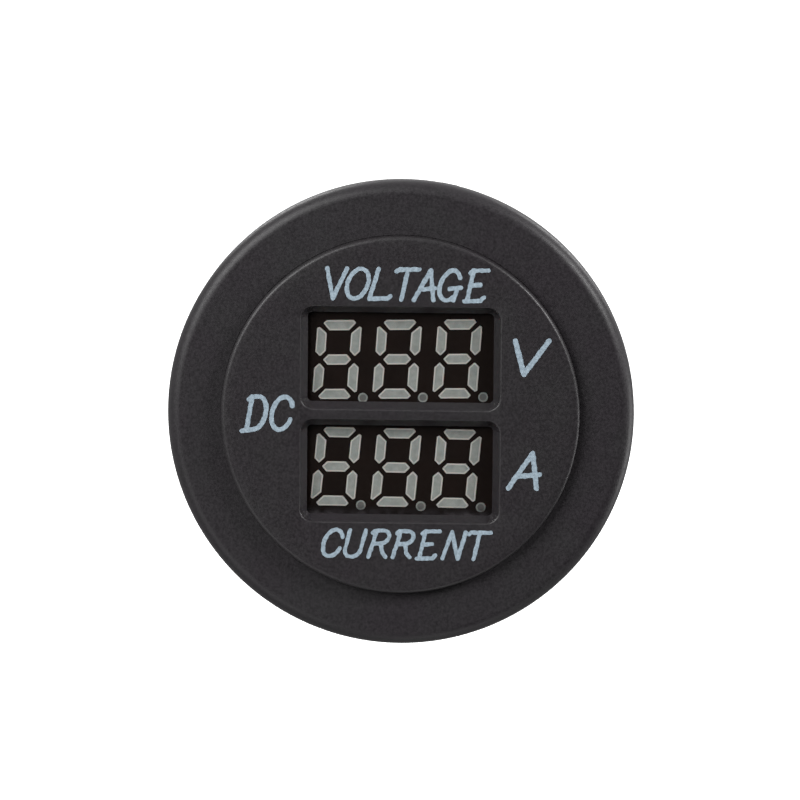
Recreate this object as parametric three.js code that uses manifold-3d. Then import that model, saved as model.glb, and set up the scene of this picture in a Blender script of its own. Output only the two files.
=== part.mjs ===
// Round panel-mount DC volt and amp meter with an internal shunt.
// Millimetres, +Z up. The meter's axis is Y and its face looks along -Y.
// The origin is on the axis, in the plane of the panel's front surface.
import * as THREE from "three";
import { mergeVertices } from "three/addons/utils/BufferGeometryUtils.js";
import Module from "manifold-3d";

const wasm = await Module();
wasm.setup();

// ---- Driving dimensions ----
const FLANGE_R = 18.5;
const FLANGE_THICK = 2.5;
const RIM_ROUND = 1.05;
const GASKET = { inner: 14.7, outer: 17.6, thick: 0.8 };
const FACE_R = 14.2;
const FACE_PROUD = 1.0; // the face stands this far in front of the flange
const FACE_EMBEDDED = 0.8; // and sits this far into it
const FACE_CORE = 0.8; // thickness of the face where the windows are
const GAP = 0.1; // air between two fitted pieces
const SIDE_GAP = 0.15; // and beside a piece that drops into a seat
const BORE_R = 12.4;
const BARREL_END = 28;
const THREAD = { pitch: 3.0, root: 13.35, crest: 14.25, rootHalf: 0.92, crestHalf: 0.5 };
const THREAD_START = 2.4;
const THREAD_CLEARANCE = 0.2;
const KEYWAY = { width: 3.0, floor: 13.2 };
const WASHER = { front: 8.0, thick: 1.2, outer: 17.2 };
const NUT = { height: 8.0, bore: 13.65, flangeR: 17.4, flangeThick: 1.8, bodyR: 16.1, ribR: 17.0, ribs: 16 };
const TURN_STEPS = 24; // facets round the barrel and its thread
const RIM_STEPS = 48; // and round the flange and face

// Windows in the face, and the display modules behind them.
const WINDOW = { width: 15.65, height: 8.05, upper: 4.55, lower: -4.43, corner: 1.05, bevel: 0.48 };
const FILM = { radius: 11.55, thick: 0.35 };
const CASE = { width: 15.4, height: 8.0, depth: 7.2, wall: 0.5, front: 1.2, shift: 0.3 };
const DIGIT_PITCH = 4.76;
const SLANT = 0.085; // sideways lean of the digits for each unit of height
const DISPLAYS = {
  voltage: { x: -0.29, z: 4.34, turn: 1.0 },
  current: { x: -0.31, z: -4.3, turn: -0.36 },
};
const BASE_THICK = 1.1;
const PIN = 0.5;

// Circuit boards and what they carry.
const BOARD_R = 11.8;
const DISPLAY_BOARD = { front: 4.3, thick: 1.2 };
const POWER_BOARD = { front: 17.0, thick: 1.6 };
const HEADER = { x: -9.2, pins: 4, pitch: 2.54, pin: 0.64, body: 2.5 };
const SHUNT = { half: 4.2, z: -7.7, wire: 1.6, rise: 6.5 };
const TAB = { x: 5.2, z: 4.6, width: 6.3, thick: 0.8, tip: 38.0, hole: 1.7 };
const TAB_STRIP = { thick: 0.7, leg: 3.0, shoulder: 7.6, neck: 6.1 };
const COVER = { radius: 13.2, plate: 1.55, spigot: 12.2, spigotInner: 11.0, spigotFront: 23.0 };

// Planes along the axis, worked out from the sizes above.
const FLANGE_BACK = -GASKET.thick - 0.05;
const FLANGE_FRONT = FLANGE_BACK - FLANGE_THICK;
const FACE_FRONT = FLANGE_FRONT - FACE_PROUD;
const SEAT_FLOOR = FLANGE_FRONT + FACE_EMBEDDED + GAP;
const FACE_CORE_BACK = FACE_FRONT + FACE_CORE;
const FILM_FRONT = FACE_CORE_BACK + 0.05;
const CASE_FRONT = FILM_FRONT + FILM.thick + 0.05;
const CASE_BACK = CASE_FRONT + CASE.depth;
const BASE_FRONT = CASE_BACK - BASE_THICK;
const NUT_FRONT = WASHER.front + WASHER.thick + GAP;
const COVER_FRONT = BARREL_END + 0.05;

// ---- Geometry helpers ----

// A closed three.js geometry as a manifold solid, turned to face outwards if it is inside out.
function solid(geometry) {
  const bare = geometry.clone();
  bare.deleteAttribute("normal");
  bare.deleteAttribute("uv");
  const merged = mergeVertices(bare, 1e-4);
  const p = merged.attributes.position.array;
  const tris = [];
  let volume = 0;
  for (let i = 0; i < merged.index.count; i += 3) {
    const [a, b, c] = merged.index.array.slice(i, i + 3);
    if (a === b || b === c || c === a) continue;
    tris.push(a, b, c);
    const [va, vb, vc] = [a, b, c].map((k) => new THREE.Vector3().fromArray(p, 3 * k));
    volume += va.dot(vb.cross(vc));
  }
  if (volume < 0) tris.reverse();
  return new wasm.Manifold(
    new wasm.Mesh({ numProp: 3, vertProperties: p, triVerts: new Uint32Array(tris) }),
  );
}

const unite = (...solids) => solids.reduce((a, b) => a.add(b));
const cut = (a, ...tools) => tools.reduce((left, tool) => left.subtract(tool), a);

function mesh(name, material, made) {
  const m = made.getMesh();
  const geometry = new THREE.BufferGeometry();
  geometry.setAttribute("position", new THREE.BufferAttribute(new Float32Array(m.vertProperties), 3));
  geometry.setIndex(new THREE.BufferAttribute(new Uint32Array(m.triVerts), 1));
  const flat = geometry.toNonIndexed();
  flat.computeVertexNormals();
  const result = new THREE.Mesh(flat, material);
  result.name = name;
  return result;
}

// A closed [radius, y] outline turned round the Y axis.
function turned(outline, steps = TURN_STEPS, x = 0, z = 0) {
  const points = [...outline, outline[0]].map(([r, y]) => new THREE.Vector2(r, y));
  return solid(new THREE.LatheGeometry(points, steps).translate(x, 0, z));
}

const ring = (inner, outer, front, back, steps) =>
  turned([[inner, front], [outer, front], [outer, back], [inner, back]], steps);

const rod = (radius, front, back, x = 0, z = 0, steps = 12) =>
  solid(new THREE.CylinderGeometry(radius, radius, back - front, steps).translate(x, (front + back) / 2, z));

// A box from its lowest to its highest corner.
function box([x0, y0, z0], [x1, y1, z1]) {
  const made = new THREE.BoxGeometry(x1 - x0, y1 - y0, z1 - z0);
  return solid(made.translate((x0 + x1) / 2, (y0 + y1) / 2, (z0 + z1) / 2));
}

const post = (size, front, back, x, z, tall = size) =>
  box([x - size / 2, front, z - tall / 2], [x + size / 2, back, z + tall / 2]);

// An outline of [x, z] points as seen from the front, filled from the plane front to the plane back.
function plate(outline, front, back) {
  const shape = new THREE.Shape(outline.map(([x, z]) => new THREE.Vector2(x, z)));
  const made = new THREE.ExtrudeGeometry(shape, { depth: back - front, bevelEnabled: false });
  return solid(made.rotateX(Math.PI / 2).translate(0, back, 0));
}

// The corner points of a rectangle with rounded corners.
function roundedRectangle(width, height, radius, steps = 3) {
  const points = [];
  [[1, 1], [-1, 1], [-1, -1], [1, -1]].forEach(([sx, sz], quarter) => {
    for (let i = 0; i <= steps; i++) {
      const a = ((quarter + i / steps) * Math.PI) / 2;
      const cx = sx * (width / 2 - radius);
      const cz = sz * (height / 2 - radius);
      points.push([cx + radius * Math.cos(a), cz + radius * Math.sin(a)]);
    }
  });
  return points;
}

// A closed body through a list of rings, each a list of [x, y, z] points, all with the same count.
function lofted(rings) {
  const n = rings[0].length;
  const positions = rings.flat(2);
  const index = [];
  for (let r = 0; r + 1 < rings.length; r++)
    for (let i = 0; i < n; i++) {
      const [a, b] = [r * n + i, r * n + ((i + 1) % n)];
      index.push(a, b, b + n, a, b + n, a + n);
    }
  const last = (rings.length - 1) * n;
  for (let i = 1; i + 1 < n; i++) index.push(0, i + 1, i, last, last + i, last + i + 1);
  const geometry = new THREE.BufferGeometry();
  geometry.setAttribute("position", new THREE.Float32BufferAttribute(positions, 3));
  geometry.setIndex(index);
  return solid(geometry);
}

// A right-handed helical ridge round +Y, grown on every side by a clearance.
// Its base is sunk into the core so that a union or a cut with the core is clean.
function threadRidge(from, to, grow, sink) {
  const slope = (THREAD.rootHalf - THREAD.crestHalf) / (THREAD.crest - THREAD.root);
  const baseR = THREAD.root - sink;
  const topR = THREAD.crest + grow;
  const half = (r) => THREAD.rootHalf - (r - THREAD.root) * slope + grow;
  const first = Math.floor((from / THREAD.pitch) * TURN_STEPS);
  const last = Math.ceil((to / THREAD.pitch) * TURN_STEPS);
  const rings = [];
  for (let i = first; i <= last; i++) {
    const turn = i / TURN_STEPS;
    const a = turn * 2 * Math.PI;
    const at = (r, dy) => [r * Math.sin(a), turn * THREAD.pitch + dy, r * Math.cos(a)];
    rings.push([
      at(baseR, -half(baseR)),
      at(topR, -half(topR)),
      at(topR, half(topR)),
      at(baseR, half(baseR)),
    ]);
  }
  return lofted(rings);
}

// ---- Housing, face and seals ----

function flangeRing() {
  const rim = [];
  for (let i = 0; i <= 5; i++) {
    const a = (i / 5) * (Math.PI / 2);
    const r = FLANGE_R - RIM_ROUND + RIM_ROUND * Math.sin(a);
    rim.push([r, FLANGE_FRONT + RIM_ROUND - RIM_ROUND * Math.cos(a)]);
  }
  const seatR = FACE_R + SIDE_GAP;
  return turned(
    [
      [THREAD.root, SEAT_FLOOR],
      [seatR, SEAT_FLOOR],
      [seatR, FLANGE_FRONT],
      ...rim,
      [FLANGE_R, FLANGE_BACK - 0.3],
      [FLANGE_R - 0.3, FLANGE_BACK],
      [THREAD.root, FLANGE_BACK],
    ],
    RIM_STEPS,
  );
}

function threadedHousing() {
  const barrel = turned([
    [BORE_R, SEAT_FLOOR],
    [THREAD.crest - 0.2, SEAT_FLOOR],
    [THREAD.crest - 0.2, FLANGE_BACK - 0.2],
    [THREAD.crest, FLANGE_BACK - 0.2],
    [THREAD.crest, THREAD_START - 0.9],
    [THREAD.root, THREAD_START],
    [THREAD.root, BARREL_END],
    [BORE_R, BARREL_END],
  ]);
  const reach = THREAD.crest + 1;
  const keyways = [-1, 1].map((side) => {
    const near = side * KEYWAY.floor;
    const far = side * reach;
    return box(
      [Math.min(near, far), THREAD_START - 1.9, -KEYWAY.width / 2],
      [Math.max(near, far), BARREL_END + 1, KEYWAY.width / 2],
    );
  });
  const leadIn = 1.0;
  const trim = turned([
    [BORE_R + 0.4, THREAD_START - 0.5],
    [reach, THREAD_START - 0.5],
    [reach, BARREL_END - leadIn],
    [THREAD.root + 0.1, BARREL_END - 0.05],
    [BORE_R + 0.4, BARREL_END - 0.05],
  ]);
  const ridge = threadRidge(THREAD_START - THREAD.pitch, BARREL_END + THREAD.pitch, 0, 0.3);
  return cut(unite(barrel, flangeRing(), ridge.intersect(trim)), ...keyways);
}

function windowHole(z) {
  const overshoot = 0.5;
  const slope = WINDOW.bevel / FACE_CORE;
  const outlineAt = (y) => {
    const inset = (y - FACE_FRONT) * slope;
    const outline = roundedRectangle(
      WINDOW.width - 2 * inset,
      WINDOW.height - 2 * inset,
      WINDOW.corner - inset,
    );
    return outline.map(([x, dz]) => [x, y, z + dz]);
  };
  return lofted([outlineAt(FACE_FRONT - overshoot), outlineAt(FACE_CORE_BACK + overshoot)]);
}

function facePlate() {
  const spigotR = BORE_R - SIDE_GAP;
  const edge = 0.2;
  const disc = turned(
    [
      [0, FACE_FRONT],
      [FACE_R - edge, FACE_FRONT],
      [FACE_R, FACE_FRONT + edge],
      [FACE_R, SEAT_FLOOR - GAP],
      [spigotR, SEAT_FLOOR - GAP],
      [spigotR, SEAT_FLOOR + 2.2],
      [FILM.radius + SIDE_GAP, SEAT_FLOOR + 2.2],
      [FILM.radius + SIDE_GAP, FACE_CORE_BACK],
      [0, FACE_CORE_BACK],
    ],
    RIM_STEPS,
  );
  return cut(disc, windowHole(WINDOW.upper), windowHole(WINDOW.lower));
}

const windowFilm = () => rod(FILM.radius, FILM_FRONT, FILM_FRONT + FILM.thick, 0, 0, RIM_STEPS);

const panelGasket = () => ring(GASKET.inner, GASKET.outer, -GASKET.thick, 0, RIM_STEPS);

function rearCover() {
  const plateEdge = 0.4;
  const back = COVER_FRONT + COVER.plate;
  const shell = turned([
    [0, COVER_FRONT],
    [COVER.spigotInner, COVER_FRONT],
    [COVER.spigotInner, COVER.spigotFront],
    [COVER.spigot - 0.2, COVER.spigotFront],
    [COVER.spigot, COVER.spigotFront + 0.6],
    [COVER.spigot, COVER_FRONT],
    [COVER.radius, COVER_FRONT],
    [COVER.radius, back - plateEdge],
    [COVER.radius - plateEdge, back],
    [0, back],
  ]);
  const slots = tabPlaces().map(([x, z]) =>
    post(TAB_STRIP.neck + 2 * GAP, COVER_FRONT - 1, back + 1, x, z, TAB_STRIP.thick + 2 * GAP),
  );
  return cut(shell, ...slots);
}

// ---- Displays ----

// The seven bars of a digit, by their corners from the digit's centre, before it leans.
function digitBars() {
  const end = [[-1.32, 2.91], [-1.08, 3.16], [1.08, 3.16], [1.32, 2.91], [0.78, 2.31], [-0.78, 2.31]];
  const middle = [[-1.14, 0], [-0.74, 0.43], [0.74, 0.43], [1.14, 0], [0.74, -0.43], [-0.74, -0.43]];
  const side = [[-1.79, 2.53], [-1.58, 2.65], [-0.94, 2.09], [-0.93, 0.7], [-1.37, 0.24], [-1.79, 0.64]];
  const flip = (bar, sx, sz) => bar.map(([x, z]) => [sx * x, sz * z]);
  return [
    end,
    flip(end, 1, -1),
    middle,
    side,
    flip(side, -1, 1),
    flip(side, 1, -1),
    flip(side, -1, -1),
  ];
}

const POINT = { x: 2.27, z: -3.05, radius: 0.41, steps: 10 };

// Every lit shape of a module as [x, z] outlines, shrunk a little where a clearance is asked for.
function litShapes(shrink) {
  const shapes = [];
  for (const digit of [-1, 0, 1]) {
    for (const bar of digitBars()) {
      const cx = bar.reduce((sum, [x]) => sum + x, 0) / bar.length;
      const cz = bar.reduce((sum, [, z]) => sum + z, 0) / bar.length;
      shapes.push(
        bar.map(([x, z]) => {
          const px = x - Math.sign(x - cx) * shrink;
          const pz = z - Math.sign(z - cz) * shrink;
          return [digit * DIGIT_PITCH + px + pz * SLANT, pz];
        }),
      );
    }
    const dot = [];
    for (let i = 0; i < POINT.steps; i++) {
      const a = (i / POINT.steps) * 2 * Math.PI;
      const r = POINT.radius - shrink;
      const z = POINT.z + r * Math.sin(a);
      dot.push([digit * DIGIT_PITCH + POINT.x + r * Math.cos(a) + POINT.z * SLANT, z]);
    }
    shapes.push(dot);
  }
  return shapes;
}

function displayCase() {
  const w = CASE.width / 2;
  const h = CASE.height / 2;
  const body = box([CASE.shift - w, CASE_FRONT, -h], [CASE.shift + w, CASE_BACK, h]);
  const pocket = box(
    [CASE.shift - w + CASE.wall, CASE_FRONT + CASE.front, -h + CASE.wall],
    [CASE.shift + w - CASE.wall, CASE_BACK + 1, h - CASE.wall],
  );
  const holes = litShapes(0).map((s) => plate(s, CASE_FRONT - 1, CASE_FRONT + CASE.front + 0.5));
  return cut(body, pocket, ...holes);
}

function displaySegments() {
  const clearance = 0.04;
  const w = CASE.width / 2 - CASE.wall - clearance;
  const h = CASE.height / 2 - CASE.wall - clearance;
  const back = BASE_FRONT - 0.05;
  const fill = box(
    [CASE.shift - w, CASE_FRONT + CASE.front + clearance, -h],
    [CASE.shift + w, back, h],
  );
  const bars = litShapes(clearance).map((s) => plate(s, CASE_FRONT + 0.04, back - 0.5));
  return unite(fill, ...bars);
}

function pinPlaces() {
  const places = [];
  for (let i = 0; i < 6; i++)
    for (const row of [-1, 1]) places.push([CASE.shift + (i - 2.5) * 2.0, row * 3.0]);
  return places;
}

function displayBase() {
  const clearance = 0.05;
  const w = CASE.width / 2 - CASE.wall - clearance;
  const h = CASE.height / 2 - CASE.wall - clearance;
  const slab = box([CASE.shift - w, BASE_FRONT, -h], [CASE.shift + w, CASE_BACK - 0.1, h]);
  const tip = DISPLAY_BOARD.front + DISPLAY_BOARD.thick + 1.0;
  return unite(slab, ...pinPlaces().map(([x, z]) => post(PIN, BASE_FRONT + 0.3, tip, x, z)));
}

// ---- Circuit boards ----

const headerPlaces = () =>
  Array.from({ length: HEADER.pins }, (_, i) => [HEADER.x, (i - (HEADER.pins - 1) / 2) * HEADER.pitch]);

function tabPlaces() {
  return [
    [-TAB.x, TAB.z],
    [TAB.x, TAB.z],
    [-TAB.x, -TAB.z],
    [TAB.x, -TAB.z],
  ];
}

// A point given in a display module's own frame, as [x, z] in the meter's frame.
function placedIn({ x, z, turn }, [px, pz]) {
  const a = THREE.MathUtils.degToRad(turn);
  return [x + px * Math.cos(a) - pz * Math.sin(a), z + px * Math.sin(a) + pz * Math.cos(a)];
}

function displayBoard() {
  const { front, thick } = DISPLAY_BOARD;
  const back = front + thick;
  const through = (size, [x, z]) => post(size, front - 1, back + 1, x, z);
  const pinHoles = Object.values(DISPLAYS).flatMap((display) =>
    pinPlaces().map((p) => through(PIN + 0.4, placedIn(display, p))),
  );
  const headerHoles = headerPlaces().map((p) => through(HEADER.pin + 0.3, p));
  return cut(rod(BOARD_R, front, back, 0, 0, TURN_STEPS), ...pinHoles, ...headerHoles);
}

const CAPACITOR = { x: 0, z: 7.4, radius: 3.15, length: 9.0, lead: 0.6, spread: 1.25 };
const DIODE = { z: 1.7, radius: 1.3, half: 2.6, lead: 0.8, reach: 4.9, lift: 1.9 };
const REGULATOR = { x: 8.7, z: 0, width: 4.7, deep: 3.7, tall: 4.7, lift: 2.2, lead: 0.5, pitch: 1.27 };

function powerBoard() {
  const { front, thick } = POWER_BOARD;
  const back = front + thick;
  const hole = (size, x, z, tall = size) => post(size, front - 1, back + 1, x, z, tall);
  return cut(
    rod(BOARD_R, front, back, 0, 0, TURN_STEPS),
    ...headerPlaces().map(([x, z]) => hole(HEADER.pin + 0.3, x, z)),
    ...tabPlaces().map(([x, z]) => hole(TAB_STRIP.leg + 0.3, x, z, TAB_STRIP.thick + 0.3)),
    ...[-1, 1].map((s) => hole(SHUNT.wire + 0.3, s * SHUNT.half, SHUNT.z)),
    ...[-1, 1].map((s) => hole(CAPACITOR.lead + 0.3, CAPACITOR.x + s * CAPACITOR.spread, CAPACITOR.z)),
    ...[-1, 1].map((s) => hole(DIODE.lead + 0.3, s * DIODE.reach, DIODE.z)),
    ...[-1, 0, 1].map((s) => hole(REGULATOR.lead + 0.3, REGULATOR.x, REGULATOR.z + s * REGULATOR.pitch)),
  );
}

// Pins from board to board, held by a moulded strip against the display board.
function linkHeader() {
  const boardBack = DISPLAY_BOARD.front + DISPLAY_BOARD.thick;
  const half = (HEADER.pins * HEADER.pitch) / 2 - 0.1;
  const strip = box(
    [HEADER.x - HEADER.body / 2 + 0.2, boardBack + GAP, -half],
    [HEADER.x + HEADER.body / 2, boardBack + GAP + HEADER.body, half],
  );
  const pins = headerPlaces().map(([x, z]) =>
    post(HEADER.pin, DISPLAY_BOARD.front - 0.8, POWER_BOARD.front + POWER_BOARD.thick + 1.0, x, z),
  );
  return unite(strip, ...pins);
}

// A flat chip on a board at y = 0, standing towards +Y, with gull-wing legs along its two long sides.
function chip({ length, width, legs, pitch }) {
  const [lift, height, legWidth] = [0.15, 1.35, 0.32];
  const body = box([-length / 2, lift, -width / 2], [length / 2, lift + height, width / 2]);
  const outline = [
    [width / 2 - 0.3, 0.75],
    [width / 2 + 0.4, 0.75],
    [width / 2 + 0.4, 0.23],
    [width / 2 + 1.05, 0.23],
    [width / 2 + 1.05, 0.05],
    [width / 2 + 0.22, 0.05],
    [width / 2 + 0.22, 0.57],
    [width / 2 - 0.3, 0.57],
  ];
  const feet = [];
  for (let i = 0; i < legs; i++)
    for (const side of [-1, 1]) {
      const x = (i - (legs - 1) / 2) * pitch;
      const shape = new THREE.Shape(outline.map(([out, y]) => new THREE.Vector2(side * out, y)));
      const leg = new THREE.ExtrudeGeometry(shape, { depth: legWidth, bevelEnabled: false });
      feet.push(solid(leg.rotateY(-Math.PI / 2).translate(x + legWidth / 2, 0, 0)));
    }
  return unite(body, ...feet);
}

// A surface-mount ceramic capacitor on a board at y = 0: a block with a wider metal cap at each end.
function ceramicCapacitor() {
  const block = (half, deep, height, x) =>
    box([x - half, 0.08, -deep / 2], [x + half, 0.08 + height, deep / 2]);
  return unite(block(1.0, 1.2, 0.8, 0), block(0.22, 1.3, 0.86, -0.82), block(0.22, 1.3, 0.86, 0.82));
}

function filterCapacitor() {
  const { x, z, radius, length, lead, spread } = CAPACITOR;
  const back = POWER_BOARD.front - 0.4;
  const front = back - length;
  const can = turned(
    [
      [0, front],
      [radius - 0.4, front],
      [radius, front + 0.4],
      [radius, back - 1.6],
      [radius - 0.3, back - 1.25],
      [radius, back - 0.9],
      [radius, back - 0.2],
      [radius - 0.2, back],
      [0, back],
    ],
    20,
    x,
    z,
  );
  const tip = POWER_BOARD.front + POWER_BOARD.thick + 0.9;
  return unite(can, ...[-1, 1].map((s) => post(lead, back - 0.5, tip, x + s * spread, z)));
}

function protectionDiode() {
  const { z, radius, half, lead, reach, lift } = DIODE;
  const y = POWER_BOARD.front - lift;
  const body = solid(
    new THREE.CylinderGeometry(radius, radius, 2 * half, 12).rotateZ(Math.PI / 2).translate(0, y, z),
  );
  const end = reach + lead / 2;
  const bar = box([-end, y - lead / 2, z - lead / 2], [end, y + lead / 2, z + lead / 2]);
  const tip = POWER_BOARD.front + POWER_BOARD.thick + 0.9;
  return unite(body, bar, ...[-1, 1].map((s) => post(lead, y - lead / 2, tip, s * reach, z)));
}

// A small transistor-style package: round-backed body on three leads.
function voltageRegulator() {
  const { x, z, width, deep, tall, lift, lead, pitch } = REGULATOR;
  const outline = [];
  for (let i = 0; i <= 8; i++) {
    const a = -Math.PI / 2 + (i / 8) * Math.PI;
    outline.push([x + (deep - width / 2) * Math.cos(a), z + (width / 2) * Math.sin(a)]);
  }
  outline.push([x - width / 2 + 0.6, z + width / 2], [x - width / 2 + 0.6, z - width / 2]);
  const back = POWER_BOARD.front - lift;
  const body = plate(outline, back - tall, back);
  const tip = POWER_BOARD.front + POWER_BOARD.thick + 0.9;
  return unite(body, ...[-1, 0, 1].map((s) => post(lead, back - 0.5, tip, x, z + s * pitch)));
}

// The shunt: a bare resistance wire in a square-shouldered loop, soldered at both ends.
function shuntElement() {
  const { half, z, wire, rise } = SHUNT;
  const bend = 2.0;
  const top = POWER_BOARD.front - rise;
  const tip = POWER_BOARD.front + POWER_BOARD.thick + 1.2;
  const centre = [[-half, tip], [-half, top + bend]];
  for (let i = 1; i <= 5; i++) {
    const a = Math.PI + (i / 5) * (Math.PI / 2);
    centre.push([-half + bend + bend * Math.cos(a), top + bend + bend * Math.sin(a)]);
  }
  const mirrored = centre.map(([x, y]) => [-x, y]).reverse();
  const line = [...centre, ...mirrored];
  const rings = line.map(([x, y], i) => {
    const before = line[Math.max(i - 1, 0)];
    const after = line[Math.min(i + 1, line.length - 1)];
    const along = new THREE.Vector2(after[0] - before[0], after[1] - before[1]).normalize();
    return Array.from({ length: 10 }, (_, k) => {
      const a = (k / 10) * 2 * Math.PI;
      const out = (wire / 2) * Math.cos(a);
      return [x - along.y * out, y + along.x * out, z + (wire / 2) * Math.sin(a)];
    });
  });
  return lofted(rings);
}

// A blade terminal: a thinner strip with a solder leg and shoulders, which passes through the cover,
// and behind the cover a full-thickness tapered blade with a locking hole.
function bladeTab(x, z) {
  const w = TAB.width / 2;
  const taper = 0.8;
  const root = COVER_FRONT + COVER.plate + GAP;
  const shoulderBack = BARREL_END - 0.1;
  const shoulderFront = shoulderBack - 1.5;
  const strip = [
    [TAB_STRIP.leg / 2, POWER_BOARD.front - 0.5],
    [TAB_STRIP.leg / 2, shoulderFront],
    [TAB_STRIP.shoulder / 2, shoulderFront],
    [TAB_STRIP.shoulder / 2, shoulderBack],
    [TAB_STRIP.neck / 2, shoulderBack],
    [TAB_STRIP.neck / 2, root + 1.0],
  ];
  const blade = [[w, root], [w, TAB.tip - taper], [w - taper * 0.75, TAB.tip]];
  const sheet = (half, thick) => {
    const outline = [...half, ...half.map(([u, y]) => [-u, y]).reverse()];
    const shape = new THREE.Shape(outline.map(([u, y]) => new THREE.Vector2(x + u, y)));
    const made = new THREE.ExtrudeGeometry(shape, { depth: thick, bevelEnabled: false });
    return solid(made.translate(0, 0, z - thick / 2));
  };
  const hole = new THREE.CylinderGeometry(TAB.hole / 2, TAB.hole / 2, 4, 12);
  const locking = solid(hole.rotateX(Math.PI / 2).translate(x, TAB.tip - 4.0, z));
  return cut(unite(sheet(strip, TAB_STRIP.thick), sheet(blade, TAB.thick)), locking);
}

// ---- Washer and nut ----

// A flat washer whose two inner keys run in the housing's keyways, so it slides but never turns.
function clampWasher() {
  const clear = 0.25;
  const back = WASHER.front + WASHER.thick;
  const flat = ring(THREAD.crest + clear, WASHER.outer, WASHER.front, back, RIM_STEPS);
  const keyWidth = KEYWAY.width - 0.5;
  const keys = [-1, 1].map((side) => {
    const inner = side * (KEYWAY.floor + 0.25);
    const outer = side * (THREAD.crest + 1);
    return box(
      [Math.min(inner, outer), WASHER.front, -keyWidth / 2],
      [Math.max(inner, outer), back, keyWidth / 2],
    );
  });
  return unite(flat, ...keys);
}

function nutRib(turn) {
  const half = 0.9;
  const outline = [
    [NUT.bodyR - 0.6, -half],
    [NUT.ribR - 0.35, -half],
    [NUT.ribR, -half + 0.35],
    [NUT.ribR, half - 0.35],
    [NUT.ribR - 0.35, half],
    [NUT.bodyR - 0.6, half],
  ];
  const a = turn * 2 * Math.PI;
  const placed = outline.map(([u, v]) => [
    u * Math.cos(a) - v * Math.sin(a),
    u * Math.sin(a) + v * Math.cos(a),
  ]);
  return plate(placed, NUT_FRONT + NUT.flangeThick - 0.3, NUT_FRONT + NUT.height - 0.5);
}

function mountingNut() {
  const back = NUT_FRONT + NUT.height;
  const chamfer = 0.6;
  const middle = (NUT.bore + NUT.bodyR) / 2;
  const body = turned(
    [
      [middle, NUT_FRONT],
      [NUT.flangeR - 0.3, NUT_FRONT],
      [NUT.flangeR, NUT_FRONT + 0.3],
      [NUT.flangeR, NUT_FRONT + NUT.flangeThick],
      [NUT.bodyR, NUT_FRONT + NUT.flangeThick + 0.3],
      [NUT.bodyR, back - 0.4],
      [NUT.bodyR - 0.4, back],
      [middle, back],
    ],
    RIM_STEPS,
  );
  const core = turned([
    [NUT.bore + chamfer, NUT_FRONT],
    [middle + 0.4, NUT_FRONT],
    [middle + 0.4, back],
    [NUT.bore + chamfer, back],
    [NUT.bore, back - chamfer],
    [NUT.bore, NUT_FRONT + chamfer],
  ]);
  const ribs = Array.from({ length: NUT.ribs }, (_, i) => nutRib((i + 0.5) / NUT.ribs));
  const groove = threadRidge(
    NUT_FRONT - 1.5 * THREAD.pitch,
    back + 1.5 * THREAD.pitch,
    THREAD_CLEARANCE,
    0.4,
  );
  return cut(unite(body, core, ...ribs), groove);
}

// ---- Materials ----

const material = (color, roughness, metalness = 0, more = {}) =>
  new THREE.MeshStandardMaterial({ color, roughness, metalness, ...more });
const MATERIALS = {
  housing: material(0x2d2c2e, 0.62),
  face: material(0x303032, 0.58),
  film: material(0xeef2f2, 0.08, 0, { transparent: true, opacity: 0.25 }),
  rubber: material(0x1b1b1c, 0.85),
  caseBlack: material(0x14100f, 0.4),
  resin: material(0x97a09b, 0.45),
  board: material(0x1f5a3a, 0.5),
  ceramic: material(0xb8935f, 0.5),
  chipBlack: material(0x1a1b1d, 0.5),
  sleeve: material(0x23294a, 0.4),
  copperAlloy: material(0x9a6a48, 0.35, 1),
  tin: material(0xb9bab6, 0.3, 1),
  nylon: material(0x2a2a2b, 0.55),
};

// ---- Assembly ----

const meter = new THREE.Group();
meter.add(
  mesh("threaded_housing", MATERIALS.housing, threadedHousing()),
  mesh("face_plate", MATERIALS.face, facePlate()),
  mesh("window_film", MATERIALS.film, windowFilm()),
  mesh("panel_gasket", MATERIALS.rubber, panelGasket()),
  mesh("rear_cover", MATERIALS.housing, rearCover()),
);

for (const [name, { x, z, turn }] of Object.entries(DISPLAYS)) {
  const module = new THREE.Group();
  module.add(
    mesh(name + "_display_case", MATERIALS.caseBlack, displayCase()),
    mesh(name + "_display_segments", MATERIALS.resin, displaySegments()),
    mesh(name + "_display_base", MATERIALS.chipBlack, displayBase()),
  );
  module.position.set(x, 0, z);
  module.rotation.y = -THREE.MathUtils.degToRad(turn);
  meter.add(module);
}

meter.add(
  mesh("display_board", MATERIALS.board, displayBoard()),
  mesh("link_header", MATERIALS.chipBlack, linkHeader()),
  mesh("power_board", MATERIALS.board, powerBoard()),
  mesh("shunt_element", MATERIALS.copperAlloy, shuntElement()),
  mesh("filter_capacitor", MATERIALS.sleeve, filterCapacitor()),
  mesh("protection_diode", MATERIALS.chipBlack, protectionDiode()),
  mesh("voltage_regulator", MATERIALS.chipBlack, voltageRegulator()),
);

// Pieces that sit flat on a board: on the back of the display board, and on the front of the power board.
function onDisplayBoard(piece, x, z) {
  piece.position.set(x, DISPLAY_BOARD.front + DISPLAY_BOARD.thick, z);
  meter.add(piece);
}

function onPowerBoard(piece, x, z) {
  piece.position.set(x, POWER_BOARD.front, z);
  piece.rotation.x = Math.PI;
  meter.add(piece);
}

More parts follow.
